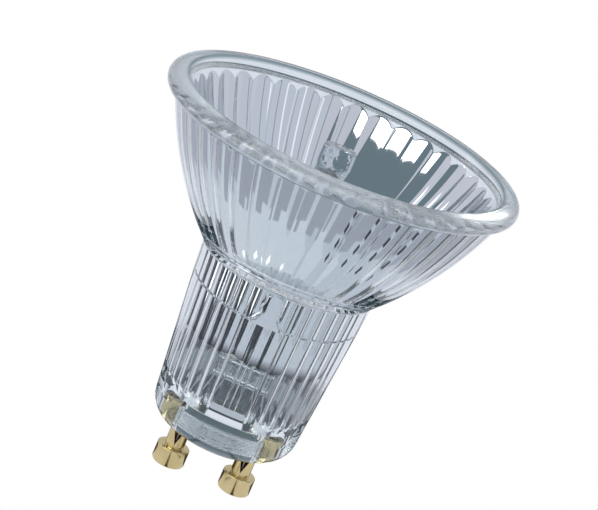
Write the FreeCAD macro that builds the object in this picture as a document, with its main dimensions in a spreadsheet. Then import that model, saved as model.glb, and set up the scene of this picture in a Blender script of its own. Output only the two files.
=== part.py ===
"""Mains halogen reflector lamp on a twist-lock two-pin base, 51 mm across the rim.

One pressed-glass piece is bowl, neck and base. Its bowl is fluted inside, its bore holds a capsule
on the lamp's axis, and two riveted brass pins with mushroom heads carry and feed it.
Millimetres, +Z along the axis from the pins to the open front, origin midway between the pin tips.
"""
import FreeCAD, Part
import os

import Sketcher
from FreeCAD import Placement, Rotation, Vector

doc = FreeCAD.newDocument("reflector_lamp")
NEAR = 1e-3
CUTS = ["PartDesign::Groove", "PartDesign::Pocket", "PartDesign::PolarPattern", "PartDesign::Mirrored"]

SIZES = [
    # Contact pins
    ("pin_spacing", 10.0, "between the pins' axes"),
    ("pin_length", 7.0, "pin tip to the glass base"),
    ("pin_head_diameter", 4.7, "mushroom head"),
    ("pin_head_height", 2.8, "mushroom head"),
    ("pin_head_chamfer", 0.4, "lower edge of the head"),
    ("pin_neck_chamfer", 0.2, "upper edge of the head"),
    ("pin_shank_diameter", 2.8, "shank through the glass"),
    ("pin_bore", 1.6, "hole down the shank for the lead"),
    ("pin_bore_floor", 3.0, "solid brass under that hole"),
    ("pin_seat", 3.4, "glass between the base and the pin's rolled rim"),
    ("rolled_rim_diameter", 3.3, "rim rolled over inside the lamp"),
    ("rolled_rim_height", 0.5, "rim rolled over inside the lamp"),
    ("crimp_depth", 0.75, "notch over the lead, into the hole"),
    ("crimp_width", 1.3, "notch at its wide upper end"),
    ("crimp_height", 2.0, "notch from its point to its upper end"),
    ("crimp_lift", 0.5, "notch's point above the head"),
    ("pin_clearance", 0.03, "round the pin in the glass"),
    # Pressed glass, outside
    ("glass_height", 47.4, "glass base to the rim's top"),
    ("rim_diameter", 51.0, "outside of the rim"),
    ("rim_height", 2.5, "bead of the rim"),
    ("rim_bulge", 1.0, "bead's outside beyond its edges"),
    ("mouth_radius", 22.9, "inner edge of the rim"),
    ("bowl_shoulder_radius", 23.4, "bowl just under the rim"),
    ("bowl_shoulder_drop", 4.06, "that place below the rim's top"),
    ("bowl_shoulder_angle", 21.0, "wall from the axis at that place, degrees"),
    ("bowl_arc_radius", 51.0, "curve of the bowl's outside"),
    ("bowl_wall", 2.6, "glass of the bowl"),
    ("neck_top_radius", 12.5, "neck where the bowl starts"),
    ("neck_base_radius", 10.25, "neck, carried down to the base"),
    ("neck_root_round", 0.9, "hollow between neck and bowl"),
    ("base_round", 3.6, "lower edge of the neck"),
    # Pressed glass, inside
    ("bowl_floor_radius", 11.4, "lower end of the bowl's curve"),
    ("collar_height", 1.0, "upright band under the flutes"),
    ("throat_radius", 8.2, "inner edge of the ledge under that band"),
    ("ledge_fall", 0.6, "fall of that ledge towards the bore"),
    ("throat_height", 0.8, "lead-in of the bore"),
    ("bore_top_radius", 7.4, "neck bore at its top"),
    ("bore_floor_radius", 6.75, "neck bore at its floor"),
    ("floor_thickness", 5.0, "glass between the base and the bore's floor"),
    ("rib_height", 2.3, "rib across the floor, between the pins"),
    ("rib_width", 4.4, "rib across the floor, between the pins"),
    ("rib_root", 0.8, "rib into the glass round it"),
    # Bowl flutes and neck flutes
    ("flute_count", 36, "flutes round the bowl"),
    ("flute_depth", 0.3, "bowl flute at its upper end, from the plain wall"),
    ("flute_drop", 2.4, "lower end of the mouth's flare below the rim's top"),
    ("flute_lead_in", 6.0, "cut carried on above the flare, degrees"),
    ("flute_overrun", 1.0, "cut carried on past the bowl's curve, degrees"),
    ("reed_count", 24, "flutes round the neck bore"),
    ("reed_depth", 0.3, "neck flute"),
    ("reed_land", 0.2, "ridge between two neck flutes at the floor"),
    ("reed_lift", 0.5, "pointed end of a neck flute's cut above the floor"),
    ("witness_height", 20.4, "ring line in the bore above the base"),
    ("witness_width", 0.3, "ring line, height of its slot"),
    ("witness_depth", 0.15, "ring line, beyond the flutes"),
    ("recess_height", 5.2, "bell-shaped recess above the ring line"),
    ("recess_base_width", 3.8, "bell-shaped recess at its foot"),
    ("recess_waist_width", 2.4, "bell-shaped recess where its flare ends"),
    ("recess_waist_height", 1.7, "that place above its foot"),
    ("recess_top_width", 2.0, "bell-shaped recess at its shoulders"),
    ("recess_corner", 0.5, "shoulders cut off at the top"),
    ("recess_depth", 0.2, "bell-shaped recess, beyond the flutes"),
    # Capsule
    ("capsule_drop", 2.4, "capsule's tip below the rim's top"),
    ("tip_height", 4.6, "flattened tip, with its stem"),
    ("tip_width", 4.8, "flattened tip across"),
    ("tip_thickness", 2.7, "flattened tip through"),
    ("tip_flat", 2.6, "straight part of the tip"),
    ("tip_round", 0.6, "upper edge of the tip"),
    ("stem_diameter", 3.9, "tip where it leaves the bulb"),
    ("bulb_diameter", 8.4, "capsule bulb"),
    ("bulb_length", 15.0, "straight part of the bulb"),
    ("bulb_wall", 0.8, "quartz of the bulb"),
    ("bulb_end_wall", 1.0, "quartz at the bulb's two ends"),
    ("dome_height", 2.6, "dome between bulb and tip"),
    ("foot_height", 2.7, "bulb running into the pinch"),
    ("cavity_chamfer", 1.4, "lower corner of the bulb's cavity"),
    ("cavity_crown", 3.0, "flat crown of the bulb's cavity"),
    ("pinch_width", 7.0, "pressed seal across"),
    ("pinch_thickness", 2.8, "pressed seal through"),
    ("pinch_length", 10.9, "pressed seal"),
    ("pinch_round", 0.6, "edges of the pressed seal"),
    # Current path
    ("foil_width", 1.7, "molybdenum foil"),
    ("foil_thickness", 0.1, "molybdenum foil"),
    ("foil_length", 5.0, "molybdenum foil"),
    ("foil_spacing", 4.6, "between the foils' middles"),
    ("foil_lift", 3.0, "foil's lower end above the pinch's foot"),
    ("foil_overlap", 1.0, "wire welded on the foil"),
    ("lead_diameter", 0.6, "outer lead"),
    ("lead_bend", 0.9, "outer lead's bends"),
    ("lead_slant", 45.0, "outer lead between its bends, degrees from upright"),
    ("lead_drop", 0.7, "outer lead's upper bend below the pinch"),
    ("lead_end_gap", 0.3, "outer lead's end above the floor of the pin's hole"),
    ("inner_lead_diameter", 0.4, "inner lead"),
    ("inner_lead_bend", 0.7, "inner lead's bends"),
    ("inner_lead_reach", 0.3, "inner lead past the filament's axis"),
    ("wire_clearance", 0.02, "round wires and foils in the glass"),
    ("filament_diameter", 1.2, "coiled filament, outside"),
    ("filament_bore", 0.5, "coiled filament, inside"),
    ("filament_length", 9.5, "coiled filament"),
    ("filament_lift", 3.4, "coil's lower end above the pinch"),
    # Cement
    ("cement_height", 5.4, "collar of cement in the bore"),
    ("cement_drop", 0.6, "cement's top below the ring line"),
    ("cement_clearance", 0.04, "round the cement"),
]

sheet = doc.addObject("Spreadsheet::Sheet", "sizes")
for row, (alias, number, use) in enumerate(SIZES, start=1):
    sheet.set(f"A{row}", alias)
    sheet.set(f"B{row}", str(number))
    sheet.set(f"C{row}", use)
    sheet.setAlias(f"B{row}", alias)
doc.recompute()


def value(expression):
    """What an expression comes to at present, as a plain number."""
    found = sheet.evalExpression(expression)
    return float(getattr(found, "Value", found))


# Heights and radii that follow from the sizes, as expressions
BASE = "sizes.pin_length"
TOP = f"({BASE} + sizes.glass_height)"
FLOOR = f"({BASE} + sizes.floor_thickness)"
PIN_SEAT = f"({BASE} + sizes.pin_seat)"
PIN_END = f"({PIN_SEAT} + sizes.rolled_rim_height)"
ARC = "sizes.bowl_arc_radius"
INNER_ARC = f"({ARC} - sizes.bowl_wall)"
CENTRE_R = f"(sizes.bowl_shoulder_radius - {ARC} * cos(sizes.bowl_shoulder_angle))"
CENTRE_Z = f"({TOP} - sizes.bowl_shoulder_drop + {ARC} * sin(sizes.bowl_shoulder_angle))"


def arc_radius_at(height, arc):
    """Radius of the bowl's curve at a height."""
    return f"({CENTRE_R} + sqrt({arc}^2 - ({CENTRE_Z} - {height})^2))"


def arc_height_at(radius, arc):
    """Height of the bowl's curve at a radius."""
    return f"({CENTRE_Z} - sqrt({arc}^2 - ({radius} - {CENTRE_R})^2))"


RIM_FOOT = f"({TOP} - sizes.rim_height)"
RIM_EDGE = "(sizes.rim_diameter / 2 - sizes.rim_bulge)"
RIM_ARC = "(sizes.rim_height^2 / (8 * sizes.rim_bulge) + sizes.rim_bulge / 2)"
NECK_TOP = arc_height_at("sizes.neck_top_radius", ARC)
BOWL_FLOOR = arc_height_at("sizes.bowl_floor_radius", INNER_ARC)
LEDGE = f"({BOWL_FLOOR} - sizes.collar_height)"
THROAT = f"({LEDGE} - sizes.ledge_fall)"
BORE_TOP = f"({THROAT} - sizes.throat_height)"
BORE_SLOPE = f"((sizes.bore_top_radius - sizes.bore_floor_radius) / ({BORE_TOP} - {FLOOR}))"
WITNESS = f"({BASE} + sizes.witness_height)"


def bore_radius_at(height):
    """Radius of the neck bore's ridges at a height."""
    return f"(sizes.bore_floor_radius + ({height} - {FLOOR}) * {BORE_SLOPE})"


CAPSULE_TOP = f"({TOP} - sizes.capsule_drop)"
TIP_FOOT = f"({CAPSULE_TOP} - sizes.tip_height)"
FLAT_FOOT = f"({CAPSULE_TOP} - sizes.tip_flat)"
BULB_TOP = f"({TIP_FOOT} - sizes.dome_height)"
BULB_FOOT = f"({BULB_TOP} - sizes.bulb_length)"
PINCH_TOP = f"({BULB_FOOT} - sizes.foot_height)"
PINCH_FOOT = f"({PINCH_TOP} - sizes.pinch_length)"
CAVITY_FOOT = f"({PINCH_TOP} + sizes.bulb_end_wall)"
CAVITY_TOP = f"({TIP_FOOT} - sizes.bulb_end_wall)"
FOIL_FOOT = f"({PINCH_FOOT} + sizes.foil_lift)"
FOIL_TOP = f"({FOIL_FOOT} + sizes.foil_length)"
FOIL_FACE = "(sizes.lead_diameter / 2)"
LEAD_TOP = f"({FOIL_FOOT} + sizes.foil_overlap)"
INNER_LEAD_FOOT = f"({FOIL_TOP} - sizes.foil_overlap)"
FILAMENT_FOOT = f"({PINCH_TOP} + sizes.filament_lift)"
FILAMENT_TOP = f"({FILAMENT_FOOT} + sizes.filament_length)"


def new_body(label):
    body = doc.addObject("PartDesign::Body", label)
    body.Label = label
    return body


def origin(body, role):
    """One of a body's own origin planes or axes."""
    return next(o for o in body.Origin.OriginFeatures if o.Role == role)


def new_sketch(body, name, plane="XZ_Plane", lift=None):
    """An empty sketch on an origin plane, moved along the plane's normal by an expression."""
    sketch = body.newObject("Sketcher::SketchObject", name)
    sketch.AttachmentSupport = (origin(body, plane), [""])
    sketch.MapMode = "FlatFace"
    if lift:
        sketch.setExpression("AttachmentOffset.Base.z", lift)
    return sketch


def bind(sketch, constraint, expression):
    """Add a dimension to a sketch and tie it to an expression."""
    number = sketch.addConstraint(constraint)
    sketch.setExpression(f"Constraints[{number}]", expression)


def fix(sketch, geometry, point, x, y):
    """Dimension one point of a sketch from the origin, or lay it on an axis where it is 0."""
    for kind, expression, axis in (("DistanceX", x, -2), ("DistanceY", y, -1)):
        if expression == "0":
            sketch.addConstraint(Sketcher.Constraint("PointOnObject", geometry, point, axis))
        else:
            bind(sketch, Sketcher.Constraint(kind, -1, 1, geometry, point, value(expression)), expression)


def bent(start, end, radius, side):
    """A counter-clockwise arc between two places, bulging left of the way from start if side is 1."""
    half = (end - start) / 2
    sag = radius - max(radius ** 2 - half.Length ** 2, 0) ** 0.5
    left = Vector(-half.y, half.x, 0).normalize()
    middle = start + half + left * sag * side
    return Part.Arc(end, middle, start) if side > 0 else Part.Arc(start, middle, end)


def chain(sketch, corners, closed=True):
    """Lines and arcs through corners of (x, y) or (x, y, radius of the arc to the next, side)."""
    places = [Vector(value(corner[0]), value(corner[1]), 0) for corner in corners]
    ends = []
    for number in range(len(corners) if closed else len(corners) - 1):
        corner = corners[number]
        start = places[number]
        end = places[(number + 1) % len(places)]
        if len(corner) == 2:
            ends.append((sketch.addGeometry(Part.LineSegment(start, end)), 1, 2))
            continue
        radius, side = corner[2:]
        geometry = sketch.addGeometry(bent(start, end, value(radius), side))
        ends.append((geometry, 2, 1) if side > 0 else (geometry, 1, 2))
        bind(sketch, Sketcher.Constraint("Radius", geometry, value(radius)), radius)
    for number, (geometry, first, last) in enumerate(ends):
        if number or closed:
            before = ends[number - 1]
            sketch.addConstraint(Sketcher.Constraint("Coincident", before[0], before[2], geometry, first))
        fix(sketch, geometry, first, *corners[number][:2])
    if not closed:
        fix(sketch, ends[-1][0], ends[-1][2], *corners[-1][:2])
    return sketch


def ring(sketch, x, y, radius):
    """A circle of a sketch, dimensioned from the origin."""
    circle = Part.Circle(Vector(value(x), value(y), 0), Vector(0, 0, 1), value(radius))
    geometry = sketch.addGeometry(circle)
    bind(sketch, Sketcher.Constraint("Radius", geometry, value(radius)), radius)
    fix(sketch, geometry, 3, x, y)
    return sketch


def block(sketch, left, low, right, high):
    """An upright rectangle of a sketch."""
    return chain(sketch, [(left, low), (right, low), (right, high), (left, high)])


def turned(body, name, sketch, kind="Revolution", axis="V_Axis", angle="360"):
    """Revolve a sketch, or cut its revolution away."""
    feature = body.newObject(f"PartDesign::{kind}", name)
    feature.Profile = sketch
    feature.ReferenceAxis = (sketch, [axis])
    feature.setExpression("Angle", angle)
    return feature


def pushed(body, name, sketch, length, kind="Pad", both=False, back=False):
    """Pad or pocket a sketch by a length, shared between both sides if asked."""
    feature = body.newObject(f"PartDesign::{kind}", name)
    feature.Profile = sketch
    feature.setExpression("Length", length)
    feature.SideType = "Symmetric" if both else "One side"
    feature.Reversed = back
    return feature


def rounded(body, name, radius, wanted):
    """Fillet each edge of the body's tip for which wanted is true."""
    doc.recompute()
    tip = body.Tip
    names = [f"Edge{i}" for i, edge in enumerate(tip.Shape.Edges, start=1) if wanted(edge)]
    if not names:
        raise RuntimeError(f"{body.Label}: {name} found no edge")
    feature = body.newObject("PartDesign::Fillet", name)
    feature.Base = (tip, names)
    feature.setExpression("Radius", radius)
    return feature


def hoop(radius, height):
    """Test for a circle round the body's axis."""
    place = value(radius), value(height)

    def wanted(edge):
        if not isinstance(edge.Curve, Part.Circle):
            return False
        found = edge.Curve.Radius, edge.Curve.Center.z
        return max(abs(f - p) for f, p in zip(found, place)) < NEAR

    return wanted


def level(height):
    """Test for edges that lie at one height."""
    place = value(height)
    return lambda edge: max(abs(v.Point.z - place) for v in edge.Vertexes) < NEAR


def upright(edge):
    """Test for straight edges along Z."""
    first, last = edge.Vertexes[0].Point, edge.Vertexes[-1].Point
    return abs(first.x - last.x) + abs(first.y - last.y) < NEAR


def repeated(body, name, originals, count):
    """Copy cuts round the lamp's axis."""
    feature = body.newObject("PartDesign::PolarPattern", name)
    feature.Originals = originals
    feature.Axis = (origin(body, "Z_Axis"), [""])
    feature.Angle = 360
    feature.setExpression("Occurrences", count)
    body.Tip = feature
    return feature


def mirrored(body, name, originals, plane):
    """Copy features to the other side of an origin plane."""
    feature = body.newObject("PartDesign::Mirrored", name)
    feature.Originals = originals
    feature.MirrorPlane = (origin(body, plane), [""])
    body.Tip = feature
    return feature


# Bowl flutes: each is as wide as its pitch, at both of its ends, so that they meet in ridges
FLUTE_TOP = f"({TOP} - sizes.flute_drop)"
TOP_ANGLE = f"asin(({CENTRE_Z} - {FLUTE_TOP}) / {INNER_ARC})"
END_ANGLE = f"asin(({CENTRE_Z} - {BOWL_FLOOR}) / {INNER_ARC})"


def flute_width(radius):
    """Width of a bowl flute where the bowl has that radius."""
    return f"(2 * {radius} * sin(180 / sizes.flute_count))"


TOP_WIDTH = flute_width(arc_radius_at(FLUTE_TOP, INNER_ARC))
END_WIDTH = flute_width("sizes.bowl_floor_radius")
FLUTE_RADIUS = f"({TOP_WIDTH}^2 / (8 * sizes.flute_depth) + sizes.flute_depth / 2)"
END_DEPTH = f"({FLUTE_RADIUS} - sqrt({FLUTE_RADIUS}^2 - {END_WIDTH}^2 / 4))"
TURN = f"sin({END_ANGLE} - {TOP_ANGLE})"
SHIFT_R = f"((sizes.flute_depth * sin({END_ANGLE}) - {END_DEPTH} * sin({TOP_ANGLE})) / {TURN})"
SHIFT_Z = f"((sizes.flute_depth * cos({END_ANGLE}) - {END_DEPTH} * cos({TOP_ANGLE})) / {TURN})"
FLUTE_PATH = f"({INNER_ARC} - {FLUTE_RADIUS})"

# Neck flutes: straight cuts with pointed ends, leaning as the bore does
REED_WIDTH = "(2 * sizes.bore_floor_radius * sin(180 / sizes.reed_count) - sizes.reed_land)"
REED_RADIUS = f"({REED_WIDTH}^2 / (8 * sizes.reed_depth) + sizes.reed_depth / 2)"


def flute_sketch(body, name):
    """A sketch square to the flute's path above the flare, its origin at the path's centre, X inwards."""
    start = f"180 deg + {TOP_ANGLE} - sizes.flute_lead_in * 1 deg"
    sketch = new_sketch(body, name, "XY_Plane")
    sketch.AttachmentOffset = Placement(Vector(), Rotation(Vector(0, 1, 0), value(start)))
    sketch.setExpression("AttachmentOffset.Base.x", f"{CENTRE_R} + {SHIFT_R}")
    sketch.setExpression("AttachmentOffset.Base.z", f"{CENTRE_Z} + {SHIFT_Z}")
    sketch.setExpression("AttachmentOffset.Rotation.Angle", start)
    return sketch


def cut_bowl_flutes(body):
    """Hollow flutes down the bowl, each running out in an arch where the mouth flares."""
    section = ring(flute_sketch(body, "flute_section"), f"-{FLUTE_PATH}", "0", FLUTE_RADIUS)
    sweep = f"{END_ANGLE} - {TOP_ANGLE} + (sizes.flute_lead_in + sizes.flute_overrun) * 1 deg"
    flute = turned(body, "flute", section, "Groove", angle=sweep)
    repeated(body, "flutes", [flute], "sizes.flute_count")


def cut_neck_reeds(body):
    """Hollow flutes up the bore, run out in a tongue above its floor."""
    lean = f"atan({BORE_SLOPE})"
    across = f"{REED_RADIUS} * cos({lean})"
    along = f"{REED_RADIUS} * sin({lean})"
    low = f"({FLOOR} + sizes.reed_lift + {REED_RADIUS})"
    high = BOWL_FLOOR

    def axis_at(height):
        return f"({bore_radius_at(height)} + sizes.reed_depth - {REED_RADIUS})"

    section = chain(new_sketch(body, "reed_section"), [
        (f"{axis_at(low)} - {along}", f"{low} - {across}"),
        (f"{axis_at(low)} + {across}", f"{low} - {along}"),
        (f"{axis_at(high)} + {across}", f"{high} - {along}"),
        (axis_at(high), high),
    ])
    reed = turned(body, "reed", section, "Groove", axis="Edge4")
    repeated(body, "reeds", [reed], "sizes.reed_count")


def cut_bore_marks(body):
    """The ring line round the bore, and the bell-shaped recess above it at front and back."""
    deep = f"{bore_radius_at(WITNESS)} + sizes.reed_depth + sizes.witness_depth"
    line = block(new_sketch(body, "witness_section"), "sizes.throat_radius / 2", WITNESS,
                 deep, f"{WITNESS} + sizes.witness_width")
    turned(body, "witness_line", line, "Groove")
    crown = f"{WITNESS} + sizes.recess_height"
    half = [
        ("sizes.recess_base_width / 2", WITNESS),
        ("sizes.recess_waist_width / 2", f"{WITNESS} + sizes.recess_waist_height"),
        ("sizes.recess_top_width / 2", f"{crown} - sizes.recess_corner"),
        ("(sizes.recess_top_width / 2 - sizes.recess_corner)", crown),
    ]
    bell = chain(new_sketch(body, "recess_section"), half + [(f"-{x}", z) for x, z in reversed(half)])
    reach = f"2 * ({bore_radius_at(WITNESS)} + sizes.reed_depth + sizes.recess_depth)"
    pushed(body, "recess", bell, reach, "Pocket", both=True)


def make_reflector():
    """Bowl, neck and base in one pressing."""
    body = new_body("reflector_glass")
    profile = chain(new_sketch(body, "glass_profile"), [
        ("0", BASE),
        ("sizes.neck_base_radius", BASE),
        ("sizes.neck_top_radius", NECK_TOP, ARC, -1),
        (arc_radius_at(RIM_FOOT, ARC), RIM_FOOT),
        (RIM_EDGE, RIM_FOOT, RIM_ARC, -1),
        (RIM_EDGE, TOP),
        ("sizes.mouth_radius", TOP),
        (arc_radius_at(FLUTE_TOP, INNER_ARC), FLUTE_TOP, INNER_ARC, 1),
        ("sizes.bowl_floor_radius", BOWL_FLOOR),
        ("sizes.bowl_floor_radius", LEDGE),
        ("sizes.throat_radius", THROAT),
        ("sizes.bore_top_radius", BORE_TOP),
        ("sizes.bore_floor_radius", FLOOR),
        ("0", FLOOR),
    ])
    turned(body, "pressing", profile)
    rounded(body, "neck_root", "sizes.neck_root_round", hoop("sizes.neck_top_radius", NECK_TOP))
    rounded(body, "base_edge", "sizes.base_round", hoop("sizes.neck_base_radius", BASE))
    cut_bowl_flutes(body)
    cut_neck_reeds(body)
    cut_bore_marks(body)
    half = "sizes.rib_width / 2"
    rib = block(new_sketch(body, "rib_section"), f"-{half}", f"{FLOOR} - sizes.rib_root",
                half, f"{FLOOR} + sizes.rib_height")
    pushed(body, "floor_rib", rib, "2 * (sizes.bore_floor_radius + sizes.rib_root)", both=True)
    shank = "sizes.pin_shank_diameter / 2 + sizes.pin_clearance"
    rolled = "sizes.rolled_rim_diameter / 2 + sizes.pin_clearance"
    for name, radius, low in (("pin_hole", shank, BASE), ("pin_recess", rolled, PIN_SEAT)):
        sketch = new_sketch(body, f"{name}_section", "XY_Plane", lift=low)
        for side in ("", "-"):
            ring(sketch, f"{side}sizes.pin_spacing / 2", "0", radius)
        pushed(body, name, sketch, f"{FLOOR} - {low}", "Pocket", back=True)
    return body


def make_pin(label, side):
    """A turned brass pin: mushroom head, crimped tubular shank, rim rolled over inside."""
    body = new_body(label)
    head = "sizes.pin_head_diameter / 2"
    shank = "sizes.pin_shank_diameter / 2"
    rolled = "sizes.rolled_rim_diameter / 2"
    bore = "sizes.pin_bore / 2"
    profile = chain(new_sketch(body, f"{label}_profile"), [
        ("0", "0"),
        (f"{head} - sizes.pin_head_chamfer", "0"),
        (head, "sizes.pin_head_chamfer"),
        (head, "sizes.pin_head_height - sizes.pin_neck_chamfer"),
        (f"{head} - sizes.pin_neck_chamfer", "sizes.pin_head_height"),
        (shank, "sizes.pin_head_height"),
        (shank, PIN_SEAT),
        (rolled, PIN_SEAT),
        (rolled, PIN_END),
        (bore, PIN_END),
        (bore, "sizes.pin_bore_floor"),
        ("0", "sizes.pin_bore_floor"),
    ])
    turned(body, f"{label}_turning", profile)
    point = "sizes.pin_head_height + sizes.crimp_lift"
    dent = chain(new_sketch(body, f"{label}_dent", lift=f"{shank} - sizes.crimp_depth"), [
        ("0", point),
        ("sizes.crimp_width / 2", f"{point} + sizes.crimp_height"),
        ("-sizes.crimp_width / 2", f"{point} + sizes.crimp_height"),
    ])
    crimp = pushed(body, f"{label}_crimp", dent, shank, "Pocket", back=True)
    mirrored(body, f"{label}_crimps", [crimp], "XZ_Plane")
    body.setExpression("Placement.Base.x", f"{side} * sizes.pin_spacing / 2")
    return body


def make_capsule():
    """Quartz bulb with a pressed seal below and a flattened tip above."""
    body = new_body("capsule_glass")
    half_width = "sizes.pinch_width / 2"
    half_thick = "sizes.pinch_thickness / 2"
    pinch = block(new_sketch(body, "pinch_section", "XY_Plane", lift=PINCH_FOOT),
                  f"-{half_width}", f"-{half_thick}", half_width, half_thick)
    pushed(body, "pinch", pinch, "sizes.pinch_length + sizes.bulb_end_wall / 2")
    rounded(body, "pinch_edges", "sizes.pinch_round", upright)
    bulb = "sizes.bulb_diameter / 2"
    stem = "sizes.stem_diameter / 2"
    foot_in = f"({bulb} - {half_thick})"
    dome_in = f"({bulb} - {stem})"
    profile = chain(new_sketch(body, "bulb_profile"), [
        ("0", PINCH_TOP),
        (half_thick, PINCH_TOP, f"({foot_in}^2 + sizes.foot_height^2) / (2 * {foot_in})", -1),
        (bulb, BULB_FOOT),
        (bulb, BULB_TOP, f"({dome_in}^2 + sizes.dome_height^2) / (2 * {dome_in})", -1),
        (stem, TIP_FOOT),
        ("sizes.tip_width / 2", FLAT_FOOT),
        ("sizes.tip_width / 2", CAPSULE_TOP),
        ("0", CAPSULE_TOP),
    ])
    turned(body, "bulb", profile)
    flats = new_sketch(body, "tip_flats_section", "YZ_Plane")
    for side in ("", "-"):
        chain(flats, [
            (f"{side}{stem}", TIP_FOOT),
            (f"{side}sizes.tip_thickness / 2", FLAT_FOOT),
            (f"{side}sizes.tip_thickness / 2", f"{CAPSULE_TOP} + sizes.tip_flat"),
            (f"{side}sizes.tip_width", f"{CAPSULE_TOP} + sizes.tip_flat"),
            (f"{side}sizes.tip_width", TIP_FOOT),
        ])
    pushed(body, "tip_flats", flats, "2 * sizes.tip_width", "Pocket", both=True)
    rounded(body, "tip_edge", "sizes.tip_round", level(CAPSULE_TOP))
    inner = f"({bulb} - sizes.bulb_wall)"
    cavity = chain(new_sketch(body, "cavity_profile"), [
        ("0", CAVITY_FOOT),
        (f"{inner} - sizes.cavity_chamfer", CAVITY_FOOT),
        (inner, f"{CAVITY_FOOT} + sizes.cavity_chamfer"),
        (inner, BULB_TOP),
        ("sizes.cavity_crown / 2", CAVITY_TOP),
        ("0", CAVITY_TOP),
    ])
    turned(body, "cavity", cavity, "Groove")
    gap = "sizes.wire_clearance"
    lead = f"sizes.lead_diameter / 2 + {gap}"
    inner_lead = f"sizes.inner_lead_diameter / 2 + {gap}"
    inner_y = f"sizes.inner_lead_diameter / 2 - {FOIL_FACE}"
    for name, radius, y, low, high in (
            ("lead_hole", lead, "0", PINCH_FOOT, LEAD_TOP),
            ("inner_lead_hole", inner_lead, inner_y, INNER_LEAD_FOOT,
             f"{CAVITY_FOOT} + sizes.cavity_chamfer")):
        sketch = new_sketch(body, f"{name}_section", "XY_Plane", lift=low)
        for side in ("", "-"):
            ring(sketch, f"{side}sizes.foil_spacing / 2", y, radius)
        pushed(body, name, sketch, f"{high} - {low}", "Pocket", back=True)
    slots = new_sketch(body, "foil_slot_section", "XY_Plane", lift=f"{FOIL_FOOT} - {gap}")
    near, far = f"-{FOIL_FACE} + {gap}", f"-{FOIL_FACE} - sizes.foil_thickness - {gap}"
    for side in ("", "-"):
        middle = f"{side}sizes.foil_spacing / 2"
        block(slots, f"{middle} - sizes.foil_width / 2 - {gap}", far,
              f"{middle} + sizes.foil_width / 2 + {gap}", near)
    pushed(body, "foil_slot", slots, f"sizes.foil_length + 2 * {gap}", "Pocket", back=True)
    return body


def make_foil(label, side):
    """Molybdenum ribbon that carries current through the pressed seal."""
    foil = doc.addObject("Part::Box", label)
    foil.Label = label
    foil.setExpression("Length", "sizes.foil_width")
    foil.setExpression("Width", "sizes.foil_thickness")
    foil.setExpression("Height", "sizes.foil_length")
    foil.setExpression("Placement.Base.x", f"{side} * sizes.foil_spacing / 2 - sizes.foil_width / 2")
    foil.setExpression("Placement.Base.y", f"-{FOIL_FACE} - sizes.foil_thickness")
    foil.setExpression("Placement.Base.z", FOIL_FOOT)
    return foil


def make_wire(label, corners, radius, plane_shift="0"):
    """Round wire along a chain of lines and arcs in the lamp's front plane."""
    body = new_body(label)
    spine = chain(new_sketch(body, f"{label}_route"), corners, closed=False)
    low = corners[0][1]
    section = ring(new_sketch(body, f"{label}_section", "XY_Plane", lift=low), corners[0][0], "0", radius)
    pipe = body.newObject("PartDesign::AdditivePipe", f"{label}_wire")
    pipe.Profile = section
    pipe.Spine = spine
    body.setExpression("Placement.Base.y", plane_shift)
    return body


def make_outer_lead(label, side):
    """From the foil down out of the seal, over to the pin and into its hole."""
    upper = f"{PINCH_FOOT} - sizes.lead_drop"
    start_x, end_x = f"{side} * sizes.foil_spacing / 2", f"{side} * sizes.pin_spacing / 2"
    fall = "((sizes.pin_spacing - sizes.foil_spacing) / 2 / tan(sizes.lead_slant))"
    lower = f"{upper} - {fall}"
    bend = "sizes.lead_bend"
    ease = f"({bend} * tan(sizes.lead_slant / 2))"
    across = f"({ease} * sin(sizes.lead_slant))"
    along = f"({ease} * cos(sizes.lead_slant))"
    turn = 1 if side == "-1" else -1
    return make_wire(label, [
        (start_x, LEAD_TOP),
        (start_x, f"{upper} + {ease}", bend, turn),
        (f"{start_x} + {side} * {across}", f"{upper} - {along}"),
        (f"{end_x} - {side} * {across}", f"{lower} + {along}", bend, -turn),
        (end_x, f"{lower} - {ease}"),
        (end_x, "sizes.pin_bore_floor + sizes.lead_end_gap"),
    ], "sizes.lead_diameter / 2")


def make_inner_lead(label, side, height):
    """From the foil up into the bulb and across to one end of the filament."""
    start_x = f"{side} * sizes.foil_spacing / 2"
    bend = "sizes.inner_lead_bend"
    shift = f"sizes.inner_lead_diameter / 2 - {FOIL_FACE}"
    return make_wire(label, [
        (start_x, INNER_LEAD_FOOT),
        (start_x, f"{height} - {bend}", bend, 1 if side == "-1" else -1),
        (f"{start_x} - {side} * {bend}", height),
        (f"-({side}) * sizes.inner_lead_reach", height),
    ], "sizes.inner_lead_diameter / 2", shift)


def make_filament():
    """Coiled tungsten, as the tube that its turns fill."""
    body = new_body("filament")
    section = block(new_sketch(body, "coil_section"), "sizes.filament_bore / 2", FILAMENT_FOOT,
                    "sizes.filament_diameter / 2", FILAMENT_TOP)
    turned(body, "coil", section)
    return body


def make_cement():
    """Collar of ceramic cement that holds the pressed seal in the bore."""
    body = new_body("capsule_cement")
    high = f"({WITNESS} - sizes.cement_drop)"
    low = f"({high} - sizes.cement_height)"
    profile = chain(new_sketch(body, "cement_profile"), [
        ("0", low),
        (f"{bore_radius_at(low)} - sizes.cement_clearance", low),
        (f"{bore_radius_at(high)} - sizes.cement_clearance", high),
        ("0", high),
    ])
    turned(body, "collar", profile)
    half_width = "sizes.pinch_width / 2 + sizes.cement_clearance"
    half_thick = "sizes.pinch_thickness / 2 + sizes.cement_clearance"
    slot = block(new_sketch(body, "cement_slot_section", "XY_Plane", lift=low),
                 f"-({half_width})", f"-({half_thick})", half_width, half_thick)
    pushed(body, "cement_slot", slot, "sizes.cement_height", "Pocket", back=True)
    return body


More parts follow.
